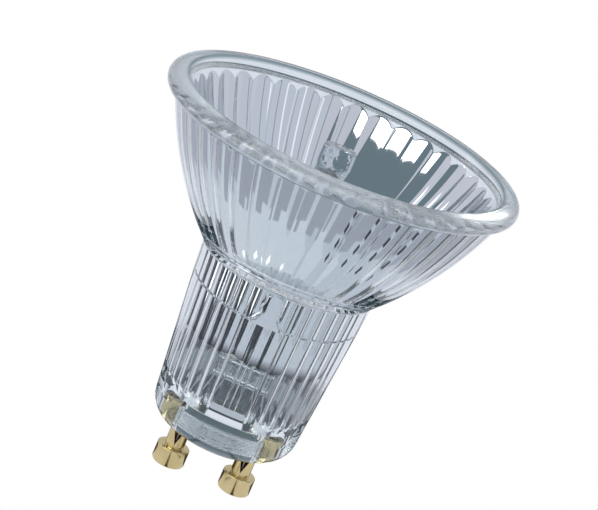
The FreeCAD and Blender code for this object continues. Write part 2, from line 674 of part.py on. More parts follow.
parts = [make_reflector(), make_capsule(), make_filament(), make_cement()]
for name, sign in (("left", "-1"), ("right", "1")):
    parts.append(make_pin(f"contact_pin_{name}", sign))
    parts.append(make_foil(f"foil_{name}", sign))
    parts.append(make_outer_lead(f"outer_lead_{name}", sign))
parts.append(make_inner_lead("inner_lead_short", "-1", f"({FILAMENT_FOOT} - sizes.inner_lead_diameter / 2)"))
parts.append(make_inner_lead("inner_lead_long", "1", f"({FILAMENT_TOP} + sizes.inner_lead_diameter / 2)"))
doc.recompute()

for item in doc.Objects:
    if {"Invalid", "Error"} & set(item.State):
        raise RuntimeError(f"{item.Label} is {item.State}")
    if item.TypeId in CUTS and item.Shape.Volume > item.BaseFeature.Shape.Volume - NEAR:
        raise RuntimeError(f"{item.Label} cuts nothing away")
for part in parts:
    if part.Shape.isNull() or not part.Shape.isValid() or len(part.Shape.Solids) != 1:
        raise RuntimeError(f"{part.Label} is not one valid solid")

os.makedirs("parts", exist_ok=True)
for part in parts:
    part.Shape.exportStep(f"parts/{part.Label}.step")
    box = part.Shape.BoundBox
    print(f"{part.Label}: {part.Shape.Volume:.2f} mm3, z {box.ZMin:.2f} to {box.ZMax:.2f}")
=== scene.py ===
# %% [markdown]
# # A halogen reflector lamp in pressed glass
# The lamp is one heavy glass pressing with a fluted bowl, coated inside with aluminium, and a quartz
# capsule on its axis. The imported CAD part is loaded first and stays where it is: every piece made
# below is in metres, in the same frame, and takes the place of one of its nodes.

# %% Load the frame
import math

import bmesh
import bpy
from mathutils import Matrix, Vector


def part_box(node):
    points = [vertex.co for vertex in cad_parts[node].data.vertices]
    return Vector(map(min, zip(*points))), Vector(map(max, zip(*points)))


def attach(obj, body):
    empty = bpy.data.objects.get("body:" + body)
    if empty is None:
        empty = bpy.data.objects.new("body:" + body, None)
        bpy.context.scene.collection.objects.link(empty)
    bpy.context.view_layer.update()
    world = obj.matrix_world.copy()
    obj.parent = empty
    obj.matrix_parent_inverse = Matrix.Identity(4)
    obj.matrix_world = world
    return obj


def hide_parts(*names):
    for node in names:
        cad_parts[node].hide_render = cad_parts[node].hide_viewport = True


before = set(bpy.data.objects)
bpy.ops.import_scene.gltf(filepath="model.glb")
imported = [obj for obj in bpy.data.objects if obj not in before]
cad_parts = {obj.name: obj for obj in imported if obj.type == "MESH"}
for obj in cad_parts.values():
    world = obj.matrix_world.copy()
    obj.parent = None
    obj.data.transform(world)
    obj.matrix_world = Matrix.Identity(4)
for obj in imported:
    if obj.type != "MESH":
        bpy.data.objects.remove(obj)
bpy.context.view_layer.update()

MM = 0.001

# %% [markdown]
# ## Heights that the whole lamp shares
# A few heights come straight from the frame. The sizes of the base and of the rim's bead are here too,
# because several steps need them. The rest of the pressing's sizes are the ones that a maker of the
# mould would write down, in millimetres, and each is named where its piece is made.

# %% Read the heights from the frame
glass_low, glass_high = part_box("reflector_glass")
BASE = glass_low.z / MM
TOP = glass_high.z / MM
RIM_RADIUS = glass_high.x / MM
BASE_THICKNESS = 5.0
FLOOR = BASE + BASE_THICKNESS
RIM_HEIGHT = 2.5
RIM_BULGE = 1.0
RIM_FOOT = TOP - RIM_HEIGHT
RIM_EDGE = RIM_RADIUS - RIM_BULGE
MOUTH_RADIUS = 22.9
print("glass from", round(BASE, 2), "to", round(TOP, 2), "mm, rim radius", round(RIM_RADIUS, 2))

# %% [markdown]
# ## Helpers for turned glass
# Nearly every piece here is turned or pressed round an axis, so the basic move is a spin: a few
# profile points joined by edges, swept a full circle by bmesh. Round corners are arcs worked out from
# their radius, so that light runs over them smoothly.

# %% Helpers for outlines and spins
ARC_STEPS = 8
WELD = 1e-7


def rounded(corners):
    """Points along a path of (radius, height, rounding), each corner replaced by its arc."""
    points = []
    for number, (r, z, size) in enumerate(corners):
        here = Vector((r, z))
        if not size:
            points.append(here)
            continue
        before = (Vector(corners[number - 1][:2]) - here).normalized()
        after = (Vector(corners[number + 1][:2]) - here).normalized()
        half_angle = before.angle(after) / 2
        centre = here + (before + after).normalized() * size / math.sin(half_angle)
        reach = size / math.tan(half_angle)
        first, last = here + before * reach - centre, here + after * reach - centre
        for step in range(ARC_STEPS + 1):
            points.append(centre + first.slerp(last, step / ARC_STEPS) * size)
    return points


def stretch(first, last, count):
    """Corners spread evenly over a straight run, without its two ends."""
    return [(first[0] + (last[0] - first[0]) * i / count, first[1] + (last[1] - first[1]) * i / count, 0)
            for i in range(1, count)]


def spun(points, steps, closed=False):
    """A bmesh swept a full turn round the lamp's axis from points of radius and height in mm."""
    bm = bmesh.new()
    verts = [bm.verts.new((p[0] * MM, 0, p[1] * MM)) for p in points]
    edges = [bm.edges.new(pair) for pair in zip(verts, verts[1:])]
    if closed:
        edges.append(bm.edges.new((verts[-1], verts[0])))
    bmesh.ops.spin(bm, geom=verts + edges, cent=(0, 0, 0), axis=(0, 0, 1), angle=math.tau,
                   steps=steps, use_merge=True, use_duplicate=False)
    bmesh.ops.remove_doubles(bm, verts=bm.verts, dist=WELD)
    bmesh.ops.recalc_face_normals(bm, faces=bm.faces)
    return bm


# %% [markdown]
# ## Helpers for cutting and for handing over
# Holes are cut by other shapes with a Boolean modifier, on objects that are thrown away once the result
# is read back. Every finished piece is handed over in one way: it rides on the lamp's only body, and the
# CAD nodes that it stands for are hidden.

# %% Helpers for cutting and for handing pieces over
def carved(bm, cutters):
    """The first bmesh with the volumes of the others taken away."""
    shapes = []
    for source in (bm, *cutters):
        mesh = bpy.data.meshes.new("carving")
        source.to_mesh(mesh)
        source.free()
        shape = bpy.data.objects.new("carving", mesh)
        bpy.context.scene.collection.objects.link(shape)
        shapes.append(shape)
    for cutter in shapes[1:]:
        cut = shapes[0].modifiers.new("cut", "BOOLEAN")
        cut.operation = "DIFFERENCE"
        cut.solver = "MANIFOLD"
        cut.object = cutter
    made = bmesh.new()
    made.from_mesh(shapes[0].evaluated_get(bpy.context.evaluated_depsgraph_get()).data)
    for shape in shapes:
        bpy.data.objects.remove(shape)
    return made


def piece(name, bm, material, nodes, crease=None):
    """Turn a bmesh into a shown piece that rides on the lamp and stands for CAD nodes."""
    mesh = bpy.data.meshes.new(name)
    bm.to_mesh(mesh)
    bm.free()
    mesh.polygons.foreach_set("use_smooth", [True] * len(mesh.polygons))
    if crease:
        mesh.set_sharp_from_angle(angle=math.radians(crease))
    mesh.materials.append(material)
    made = bpy.data.objects.new(name, mesh)
    bpy.context.scene.collection.objects.link(made)
    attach(made, "root")
    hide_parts(*nodes)
    print(name, "has", sum(len(p.vertices) - 2 for p in mesh.polygons), "triangles")


# %% [markdown]
# ## Finishes
# Colours are written as sRGB hex values, as a maker's colour card gives them, and turned to linear by
# one function. Each finish starts from the real material's own index of refraction and roughness, and
# its pattern takes its scale from a size in millimetres on the real surface.

# %% Helpers for materials
def linear(code):
    """An sRGB hex colour as linear numbers."""
    parts = [int(code[i:i + 2], 16) / 255 for i in (1, 3, 5)]
    return (*[c / 12.92 if c <= 0.04045 else ((c + 0.055) / 1.055) ** 2.4 for c in parts], 1.0)


def finish(name, **sockets):
    """A material whose one shader has these socket values."""
    material = bpy.data.materials.new(name)
    material.use_nodes = True
    shader = material.node_tree.nodes["Principled BSDF"]
    for socket, setting in sockets.items():
        shader.inputs[socket.replace("_", " ")].default_value = setting
    return material


def add_node(tree, kind, settings=None, links=None):
    """Add a node, set its inputs or attributes, and link its inputs to other nodes' outputs."""
    made = tree.nodes.new(kind)
    for key, setting in (settings or {}).items():
        if key in made.inputs:
            made.inputs[key].default_value = setting
        else:
            setattr(made, key, setting)
    for key, output in (links or {}).items():
        tree.links.new(output, made.inputs[key])
    return made


def feed(material, socket, output):
    """Link a node's output to a socket of the material's shader."""
    tree = material.node_tree
    tree.links.new(output, tree.nodes["Principled BSDF"].inputs[socket])


def per_mm(size):
    """Texture scale for features of that size in millimetres, on coordinates in metres."""
    return 1 / (size * MM)


def roughened(material, size, depth, strength, detail):
    """Give a finish an uneven skin, with features of that size and depth in millimetres."""
    tree = material.node_tree
    place = add_node(tree, "ShaderNodeTexCoord")
    unevenness = add_node(tree, "ShaderNodeTexNoise", {"Scale": per_mm(size), "Detail": detail},
                          {"Vector": place.outputs["Object"]})
    skin = add_node(tree, "ShaderNodeBump", {"Strength": strength, "Distance": depth * MM},
                    {"Height": unevenness.outputs["Fac"]})
    feed(material, "Normal", skin.outputs["Normal"])


# %% [markdown]
# ### Pressed glass and quartz
# Pressed soda glass is faintly blue-green, and its skin keeps the shallow ripples of a mould that was
# colder than the glass. They bend what is seen through it. Fused quartz is clearer and bends light less;
# the tip of a capsule is drawn and squeezed in a flame, which leaves it wavy.

# %% The two glasses
pressed_glass = finish("pressed soda glass", Transmission_Weight=1.0, IOR=1.52)
quartz = finish("fused quartz", Base_Color=linear("#F4F8F9"), Transmission_Weight=1.0, IOR=1.46,
                Roughness=0.0)
roughened(pressed_glass, size=3.0, depth=0.003, strength=1.0, detail=2.0)
roughened(quartz, size=1.5, depth=0.1, strength=1.0, detail=2.0)
print("glasses:", pressed_glass.name, "and", quartz.name)

# %% [markdown]
# ### The rim's edges
# Seen along an edge, glass shows dark blue-green lines, from light that runs a long way through it. Here they
# are painted shade: the glass's colour is darkened by its distance from the bead's inner edge and its foot.
# A real bead is glossy. Here it is made a little dull, because fully clear it breaks up what is seen through
# it more than a real one does.

# %% Soften the rim's bead
RIM_ROUGHNESS = 0.16
DULL_FADE = 0.4
glass_tree = pressed_glass.node_tree
place = add_node(glass_tree, "ShaderNodeTexCoord")
height = add_node(glass_tree, "ShaderNodeSeparateXYZ", links={"Vector": place.outputs["Object"]})
dulled = add_node(glass_tree, "ShaderNodeMapRange",
                  {"From Min": RIM_FOOT * MM, "From Max": (RIM_FOOT + DULL_FADE) * MM,
                   "To Max": RIM_ROUGHNESS},
                  {"Value": height.outputs["Z"]})
feed(pressed_glass, "Roughness", dulled.outputs["Result"])
print("rim softened above", round(RIM_FOOT, 2), "mm")

# %% Paint shade along the rim's edges
EDGE_SHADE_CORE = 0.16
EDGE_SHADE_FADE = 0.64
flat = add_node(glass_tree, "ShaderNodeMapping", {"Scale": (1, 1, 0)}, {"Vector": place.outputs["Object"]})
reach = add_node(glass_tree, "ShaderNodeVectorMath", {"operation": "LENGTH"}, {0: flat.outputs["Vector"]})
section = add_node(glass_tree, "ShaderNodeCombineXYZ",
                   links={"X": reach.outputs["Value"], "Y": height.outputs["Z"]})
edges = []
for r, z in ((MOUTH_RADIUS, TOP), (RIM_EDGE, RIM_FOOT)):
    away = add_node(glass_tree, "ShaderNodeMapping", {"Location": (-r * MM, -z * MM, 0)},
                    {"Vector": section.outputs["Vector"]})
    gap = add_node(glass_tree, "ShaderNodeVectorMath", {"operation": "LENGTH"}, {0: away.outputs["Vector"]})
    near = add_node(glass_tree, "ShaderNodeMapRange",
                    {"From Min": EDGE_SHADE_FADE * MM, "From Max": EDGE_SHADE_CORE * MM}, {"Value": gap.outputs["Value"]})
    edges.append(near.outputs["Result"])
edge_shade_mask = add_node(glass_tree, "ShaderNodeMath", {"operation": "MAXIMUM"}, dict(enumerate(edges)))
# painted shade: the glass is coloured dark blue-green near the bead's inner edge and its foot
painted_edge_shade = add_node(glass_tree, "ShaderNodeMix", {"data_type": "RGBA"}, {"Factor": edge_shade_mask.outputs["Value"]})
painted_edge_shade.inputs["A"].default_value = linear("#EEF3F4")
painted_edge_shade.inputs["B"].default_value = linear("#4F6C71")
feed(pressed_glass, "Base Color", painted_edge_shade.outputs["Result"])
print("rim's edges tinted within", EDGE_SHADE_FADE, "mm")

# %% [markdown]
# ### Vacuum aluminium
# The film is aluminium laid down in a vacuum: a true mirror, faintly blue. Its colour turns darker over the
# last two millimetres above its lower edge in the neck, and is darkest where it ends.

# %% Finish of the mirror film
FILM_FOOT = BASE + 14.3
FILM_FADE = 2.0
FILM_DARKEST = FILM_FOOT - 0.1
mirror_film = finish("vacuum aluminium film", Metallic=1.0, Roughness=0.04)
film_tree = mirror_film.node_tree
place = add_node(film_tree, "ShaderNodeTexCoord")
height = add_node(film_tree, "ShaderNodeSeparateXYZ", links={"Vector": place.outputs["Object"]})
# the film's colour is darker towards its lower edge in the neck
film_darkening = add_node(film_tree, "ShaderNodeMapRange",
                 {"From Min": FILM_DARKEST * MM, "From Max": (FILM_FOOT + FILM_FADE) * MM,
                  "interpolation_type": "SMOOTHSTEP"}, {"Value": height.outputs["Z"]})
shade = add_node(film_tree, "ShaderNodeMix", {"data_type": "RGBA"}, {"Factor": film_darkening.outputs["Result"]})
shade.inputs["A"].default_value = linear("#26343A")
shade.inputs["B"].default_value = linear("#E0E2E6")
feed(mirror_film, "Base Color", shade.outputs["Result"])
print("film fades over", FILM_FADE, "mm")

# %% [markdown]
# ### Brass, wire and cement
# Turned brass is a warm yellow metal with a fine satin of rings from the lathe; the rings are drawn
# coarser than real ones so that they show. Tungsten and molybdenum are drawn and rolled, and grey. The
# cement is a chalky fired paste.

# %% The metals and the cement
brass = finish("turned brass", Metallic=1.0, Roughness=0.17)
tungsten = finish("drawn tungsten", Base_Color=linear("#6E6C6C"), Metallic=1.0, Roughness=0.35)
molybdenum = finish("rolled molybdenum", Base_Color=linear("#A9ABB0"), Metallic=1.0, Roughness=0.3)
cement = finish("fired ceramic cement", Base_Color=linear("#D9D3C6"), Roughness=0.85)
print("metals:", ", ".join(material.name for material in (brass, tungsten, molybdenum)))

# %% Lathe rings and patches of the brass
LATHE_RING = 0.12
RING_DEPTH = 0.003
RING_STRETCH = 0.05
BRASS_PATCH = 1.5
brass_tree = brass.node_tree
place = add_node(brass_tree, "ShaderNodeTexCoord")
rings = add_node(brass_tree, "ShaderNodeMapping", {"Scale": (RING_STRETCH, RING_STRETCH, 1.0)},
                 {"Vector": place.outputs["Object"]})
satin = add_node(brass_tree, "ShaderNodeTexNoise", {"Scale": per_mm(LATHE_RING), "Detail": 3.0},
                 {"Vector": rings.outputs["Vector"]})
turning = add_node(brass_tree, "ShaderNodeBump", {"Strength": 0.2, "Distance": RING_DEPTH * MM},
                   {"Height": satin.outputs["Fac"]})
patches = add_node(brass_tree, "ShaderNodeTexNoise", {"Scale": per_mm(BRASS_PATCH), "Detail": 4.0},
                   {"Vector": place.outputs["Object"]})
tone = add_node(brass_tree, "ShaderNodeMix", {"data_type": "RGBA"}, {"Factor": patches.outputs["Fac"]})
tone.inputs["A"].default_value = linear("#C4AC72")
tone.inputs["B"].default_value = linear("#E4D3A4")
feed(brass, "Normal", turning.outputs["Normal"])
feed(brass, "Base Color", tone.outputs["Result"])
print("lathe rings every", LATHE_RING, "mm")

# %% Grain of wire, foil and cement
roughened(tungsten, size=0.1, depth=0.004, strength=0.6, detail=4.0)
roughened(molybdenum, size=0.15, depth=0.004, strength=0.6, detail=4.0)
roughened(cement, size=0.3, depth=0.05, strength=0.6, detail=4.0)
print("grained:", ", ".join(material.name for material in (tungsten, molybdenum, cement)))

# %% [markdown]
# ## The pressing's curves
# The bowl's outside is one arc, and its inside is the same arc drawn in by the wall. Both are
# worked out from a place just under the rim, the wall's lean there and the arc's radius. Near the
# mouth the inside flares, so that the core could be drawn out of the hot glass.

# %% The bowl's arcs
SHOULDER_RADIUS = 23.4
SHOULDER_DROP = 4.06
SHOULDER_LEAN = math.radians(21)
OUTER_ARC = 51.0
WALL = 2.6
INNER_ARC = OUTER_ARC - WALL
CENTRE = Vector((SHOULDER_RADIUS - OUTER_ARC * math.cos(SHOULDER_LEAN),
                 TOP - SHOULDER_DROP + OUTER_ARC * math.sin(SHOULDER_LEAN)))
NECK_TOP_RADIUS = 12.5
NECK_BASE_RADIUS = 10.25
BOWL_FLOOR_RADIUS = 11.4
FLUTE_TOP = TOP - 3.0


def arc_height(r, arc):
    """Height of the bowl's curve at a radius."""
    return CENTRE.y - math.sqrt(arc ** 2 - (r - CENTRE.x) ** 2)


def arc_radius(z, arc):
    """Radius of the bowl's curve at a height."""
    return CENTRE.x + math.sqrt(arc ** 2 - (CENTRE.y - z) ** 2)


def bowl(low, high, arc, count):
    """Corners up the bowl's curve between two heights, without its two ends."""
    return [(arc_radius(z, arc), z, 0) for z in
            (low + (high - low) * i / count for i in range(1, count))]


FLARE_RADIUS = arc_radius(FLUTE_TOP, INNER_ARC)
FLARE = (MOUTH_RADIUS - FLARE_RADIUS) / (TOP - FLUTE_TOP)


def inside_radius(z):
    """Radius of the plain inside of the bowl at a height, with its flared mouth."""
    return FLARE_RADIUS + (z - FLUTE_TOP) * FLARE if z > FLUTE_TOP else arc_radius(z, INNER_ARC)


NECK_TOP = arc_height(NECK_TOP_RADIUS, OUTER_ARC)
BOWL_FLOOR = arc_height(BOWL_FLOOR_RADIUS, INNER_ARC)
LEDGE = BOWL_FLOOR - 1.0
THROAT = LEDGE - 0.6
BORE_TOP = THROAT - 0.8
THROAT_RADIUS = 8.2
BORE_TOP_RADIUS = 7.4
BORE_FLOOR_RADIUS = 6.75
print("bowl floor at", round(BOWL_FLOOR, 2), "mm, neck top at", round(NECK_TOP, 2), "mm")

# %% [markdown]
# ## Flutes
# The mould's core carries a ring of round-nosed ribs, which leave hollow flutes down the bowl and a
# second ring of them up the bore. A flute is the dent of a round bar, so its depth at a point follows
# from how far the point lies from the bar's middle. The bowl's flutes run out in arches at the flare.

# %% Depth of the flutes
FLUTES = 36
FLUTE_DEPTH = 0.3
REEDS = 24
REED_LAND = 0.2
REED_DEPTH = 0.3


def pitch_width(radius, count):
    """Distance from one flute to the next where the wall has that radius."""
    return 2 * radius * math.sin(math.pi / count)


def bar_radius(width, depth):
    """Radius of the round bar that leaves a dent of that width and depth."""
    return width ** 2 / (8 * depth) + depth / 2


FLUTE_BAR = bar_radius(pitch_width(FLARE_RADIUS, FLUTES), FLUTE_DEPTH)
FLUTE_END = pitch_width(BOWL_FLOOR_RADIUS, FLUTES)
FLUTE_END_DEPTH = FLUTE_BAR - math.sqrt(FLUTE_BAR ** 2 - FLUTE_END ** 2 / 4)
REED_BAR = bar_radius(pitch_width(BORE_FLOOR_RADIUS, REEDS) - REED_LAND, REED_DEPTH)
REED_FOOT = FLOOR + 0.5 + REED_BAR


def dent(bar, depth, radius, turn, count, past_end=0.0):
    """How deep the bar presses in at an angle round the axis and a distance past its round end."""
    pitch = math.tau / count
    aside = (turn + pitch / 2) % pitch - pitch / 2
    left = bar ** 2 - (radius * math.sin(aside)) ** 2 - past_end ** 2
    return max(0.0, depth - bar + math.sqrt(max(left, 0.0)) + radius * (1 - math.cos(aside)))


def flute_radius(z, turn):
    """Radius of the fluted wall at a height and an angle."""
    along = (z - BOWL_FLOOR) / (FLUTE_TOP - BOWL_FLOOR)
    plain = arc_radius(z, INNER_ARC)
    push = dent(FLUTE_BAR, FLUTE_END_DEPTH + (FLUTE_DEPTH - FLUTE_END_DEPTH) * along, plain, turn, FLUTES)
    return plain + push / math.sqrt(1 - ((CENTRE.y - z) / INNER_ARC) ** 2)


def bore_radius(z):
    """Radius of the bore's ridges at a height."""
    return BORE_FLOOR_RADIUS + (BORE_TOP_RADIUS - BORE_FLOOR_RADIUS) * (z - FLOOR) / (BORE_TOP - FLOOR)


print("flute bar", round(FLUTE_BAR, 2), "mm, reed bar", round(REED_BAR, 2), "mm")

# %% [markdown]
# ## Pressing the flutes into the bowl
# One row of the spun mesh is kept for the line where flutes and flare meet. It is bent up and down to
# follow the arches, and the rows near it follow, so that each arch has a crisp edge.

# %% Press the bowl
ARCH_ROW = FLUTE_TOP + 0.5
ARCH_LOW = FLUTE_TOP - 1.2
ARCH_HIGH = TOP - 0.5
WALL_SLOPE = (CENTRE.y - FLUTE_TOP) / (FLARE_RADIUS - CENTRE.x)
SKIN = 0.2


def arched(z, turn):
    """Height of a row near the mouth once it follows the arches."""
    if not ARCH_LOW < z < ARCH_HIGH:
        return z
    arch = FLUTE_TOP + (flute_radius(FLUTE_TOP, turn) - FLARE_RADIUS) / (FLARE - WALL_SLOPE)
    end = ARCH_LOW if z < ARCH_ROW else ARCH_HIGH
    return arch + (z - ARCH_ROW) * (end - arch) / (end - ARCH_ROW)


def pressed_bowl(r, z, turn):
    """Radius and height of a point of the bowl's inside, pressed by the core."""
    gap = inside_radius(z) - r
    up = arched(z, turn)
    return max(inside_radius(up), flute_radius(up, turn)) - gap, up


print("arches from", round(arched(ARCH_ROW, math.pi / FLUTES), 2), "to", round(arched(ARCH_ROW, 0), 2), "mm")

# %% [markdown]
# ## Marks on the bore and the rib on its floor
# The core also leaves a fine ring line round the bore, a bell-shaped recess over it at front and back,
# and a rib across the floor between the pins. Like the flutes they are pressed into the spun surface by
# moving its points, so that the glass stays one skin.

# %% Press the bore
WITNESS = BASE + 20.4
WITNESS_WIDTH = 0.3
WITNESS_DEPTH = 0.12
RECESS_HEIGHT = 5.2
RECESS_BASE = 1.9
RECESS_WAIST = 1.15
RECESS_TOP = 0.95
RECESS_DEPTH = 0.2
RECESS_EDGE = 0.12
FLARE_SHARE = 0.33
CROWN_SHARE = 0.85
RIB_HALF_WIDTH = 2.2
RIB_TOP = FLOOR + 2.3
SOFT_EDGE = 0.25


def eased(position):
    """A smooth step from 0 to 1."""
    t = min(max(position, 0.0), 1.0)
    return t * t * (3 - 2 * t)


def recess_half_width(z):
    """Half width of the bell-shaped recess at a height, or nothing outside it."""
    up = (z - WITNESS) / RECESS_HEIGHT
    if not 0 <= up <= 1:
        return 0.0
    flare = RECESS_WAIST + (RECESS_BASE - RECESS_WAIST) * (1 - eased(up / FLARE_SHARE))
    crown = max(0.0, (up - CROWN_SHARE) / (1 - CROWN_SHARE))
    return (flare - (RECESS_WAIST - RECESS_TOP) * eased(up)) * math.sqrt(1 - crown ** 2)


def pressed_bore(r, z, turn):
    """Radius and height of a point of the bore's wall or floor, pressed by the core."""
    wall = bore_radius(z)
    if r > wall - SKIN:
        gap = max(0.0, wall - r)
        reed = wall + dent(REED_BAR, REED_DEPTH, wall, turn, REEDS, max(0.0, REED_FOOT - z))
        if WITNESS <= z <= WITNESS + WITNESS_WIDTH:
            reed = wall + REED_DEPTH + WITNESS_DEPTH
        across = abs(reed * math.cos(turn))
        inside = eased((recess_half_width(z) - across) / RECESS_EDGE + 0.5)
        reed += (wall + REED_DEPTH + RECESS_DEPTH - reed) * inside
        r = max(r, reed - gap)
    across = abs(r * math.cos(turn))
    rib = FLOOR + (RIB_TOP - FLOOR) * eased((RIB_HALF_WIDTH - across) / SOFT_EDGE + 0.5)
    return r, max(z, rib)


def pressed_point(co):
    """Where a point of the plain spun surface lies once the mould's core has pressed it."""
    r, z, turn = math.hypot(co.x, co.y) / MM, co.z / MM, math.atan2(co.y, co.x)
    if BOWL_FLOOR - WELD < z < ARCH_HIGH and abs(inside_radius(z) - r) < SKIN:
        r, z = pressed_bowl(r, z, turn)
    elif FLOOR - SKIN < z < BORE_TOP + SKIN and r < THROAT_RADIUS:
        r, z = pressed_bore(r, z, turn)
    return Vector((r * math.cos(turn), r * math.sin(turn), z)) * MM


print("rib up to", round(RIB_TOP, 2), "mm, ring line at", round(WITNESS, 2), "mm")

# %% [markdown]
# ## The glass pressing
# Bowl, neck and base are one closed skin: up the outside, over the rim's bead, down the fluted inside
# and across the floor. It is spun with enough steps for each flute to bend light smoothly, then
# pressed, and last the two stepped holes for the pins are cut through the base.

# %% Outline of the rim and the inside
GLASS_STEPS = 432
RIM_ARC = bar_radius(RIM_HEIGHT, RIM_BULGE)
RIM_STEPS = 14
FLARE_ROWS = 5
ARCH_ROWS = 6
BOWL_ROWS = 24
BORE_ROW = 0.35
HAIR = 0.03


def bead():
    """Corners round the outside of the rim's bead, from its lower edge to its upper edge."""
    half = math.asin(RIM_HEIGHT / 2 / RIM_ARC)
    angles = [half * (2 * i / RIM_STEPS - 1) for i in range(RIM_STEPS + 1)]
    return [(RIM_RADIUS - RIM_ARC + RIM_ARC * math.cos(a), TOP - RIM_HEIGHT / 2 + RIM_ARC * math.sin(a), 0)
            for a in angles]


def inner_wall(bore_foot):
    """Corners of the plain inside, from the rim's inner edge down to a height in the bore."""
    flare = [ARCH_HIGH - (ARCH_HIGH - ARCH_ROW) * i / FLARE_ROWS for i in range(FLARE_ROWS)]
    arches = [ARCH_ROW + HAIR, ARCH_ROW, ARCH_ROW - HAIR]
    below = [ARCH_ROW - (ARCH_ROW - ARCH_LOW) * i / ARCH_ROWS for i in range(1, ARCH_ROWS + 1)]
    marks = [WITNESS - HAIR, WITNESS, WITNESS + WITNESS_WIDTH, WITNESS + WITNESS_WIDTH + HAIR]
    rows = round((BORE_TOP - bore_foot) / BORE_ROW)
    bore = [BORE_TOP + (bore_foot - BORE_TOP) * i / rows for i in range(1, rows)]
    bore = sorted([*bore, *[m for m in marks if m > bore_foot]], reverse=True)
    return [
        (MOUTH_RADIUS, TOP, 0.25),
        *[(inside_radius(z), z, 0) for z in (*flare, *arches, *below)],
        *bowl(ARCH_LOW, BOWL_FLOOR, INNER_ARC, BOWL_ROWS),
        (BOWL_FLOOR_RADIUS, BOWL_FLOOR, 0),
        (BOWL_FLOOR_RADIUS, LEDGE, 0.4),
        (THROAT_RADIUS, THROAT, 0.3),
        (BORE_TOP_RADIUS, BORE_TOP, 0),
        *[(bore_radius(z), z, 0) for z in bore],
        (bore_radius(bore_foot), bore_foot, 0),
    ]


print("bead from", round(RIM_FOOT, 2), "to", round(TOP, 2), "mm")

# %% Outline of the whole glass
BASE_ROUNDING = 3.6
FLAT_RADIUS = NECK_BASE_RADIUS - 4.0
BASE_ROWS = 6
NECK_ROWS = 6
OUTER_ROWS = 14
FLOOR_ROWS = 20
glass_outline = rounded([
    (0, BASE, 0),
    *stretch((0, BASE), (FLAT_RADIUS, BASE), BASE_ROWS),
    (NECK_BASE_RADIUS, BASE, BASE_ROUNDING),
    *stretch((NECK_BASE_RADIUS, BASE), (NECK_TOP_RADIUS, NECK_TOP), NECK_ROWS)[1:],
    (NECK_TOP_RADIUS, NECK_TOP, 0.9),
    *bowl(NECK_TOP, RIM_FOOT, OUTER_ARC, OUTER_ROWS)[1:],
    (arc_radius(RIM_FOOT, OUTER_ARC), RIM_FOOT, 0.2),
    *bead(),
    *inner_wall(FLOOR),
    *stretch((BORE_FLOOR_RADIUS, FLOOR), (0, FLOOR), FLOOR_ROWS),
    (0, FLOOR, 0),
])
print("glass outline has", len(glass_outline), "points")

# %% Spin, press and drill the glass
PIN_SPACING = 10.0
PIN_SEAT = BASE + 3.4
SHANK_RADIUS = 1.4
ROLLED_RADIUS = 1.65
HOLE_GAP = 0.03
HOLE_EXCESS = 1.0
HOLE_STEPS = 64


def pin_holes():
    """Cutters for the stepped hole at each pin."""
    shank, rolled = SHANK_RADIUS + HOLE_GAP, ROLLED_RADIUS + HOLE_GAP
    low, high = BASE - HOLE_EXCESS, FLOOR + HOLE_EXCESS
    made = []
    for sign in (-1, 1):
        bm = spun([(0, low), (shank, low), (shank, PIN_SEAT), (rolled, PIN_SEAT),
                   (rolled, high), (0, high)], HOLE_STEPS)
        bmesh.ops.translate(bm, verts=bm.verts, vec=(sign * PIN_SPACING / 2 * MM, 0, 0))
        made.append(bm)
    return made


glass_bm = spun(glass_outline, GLASS_STEPS)
for vert in glass_bm.verts:
    vert.co = pressed_point(vert.co)
glass_bm = carved(glass_bm, pin_holes())
piece("pressed_glass_body", glass_bm, pressed_glass, ["reflector_glass"], crease=60)

# %% [markdown]
# ## The mirror film
# The film is far thinner than could be drawn. It is made as a skin two hundredths of a millimetre thick
# just inside the glass, pressed by the same core. It reaches from the flutes' arches, under the clear
# flare, down into the neck, and ends there in a slightly uneven line, as a masked coat does.

# %% Lay the film on the inside
FILM_TOP = ARCH_ROW + 0.1
FILM_GAP = 0.03
FILM_THICKNESS = 0.02
FILM_WAVES = [
    # waves in a turn, height in mm, start in radians
    (3, 0.2, 0.4),
    (7, 0.16, 1.9),
    (13, 0.14, 0.8),
    (31, 0.1, 2.6),
]


def offset(points, distance):
    """The same path moved into the cavity by a distance."""
    moved = []
    for number, point in enumerate(points):
        way = points[min(number + 1, len(points) - 1)] - points[max(number - 1, 0)]
        moved.append(point + Vector((way.y, -way.x)).normalized() * distance)
    return moved


def ragged(co):
    """Move the film's lower end up and down a little round the neck."""
    turn = math.atan2(co.y, co.x)
    near_end = eased(1 - (co.z / MM - FILM_FOOT) / FILM_FADE)
    shift = sum(size * math.sin(count * turn + start) for count, size, start in FILM_WAVES)
    return co + Vector((0, 0, shift * near_end * MM))


film_path = [p for p in rounded([(RIM_EDGE, TOP, 0), *inner_wall(FILM_FOOT)]) if p.y < FILM_TOP]
film_outline = offset(film_path, FILM_GAP) + offset(film_path, FILM_GAP + FILM_THICKNESS)[::-1]
film_bm = spun(film_outline, GLASS_STEPS, closed=True)
for vert in film_bm.verts:
    vert.co = ragged(pressed_point(vert.co))
piece("mirror_film", film_bm, mirror_film, [], crease=60)

# %% [markdown]
# ## The quartz capsule
# A quartz tube is drawn in at one end to a flattened tip and pressed flat at the other, round the
# foils that carry the current. It is spun as a tube, then its lower end is squared up into the seal and
# its tip is flattened, in the way the real one is squeezed while hot. The hollow is a second skin that
# faces inwards.

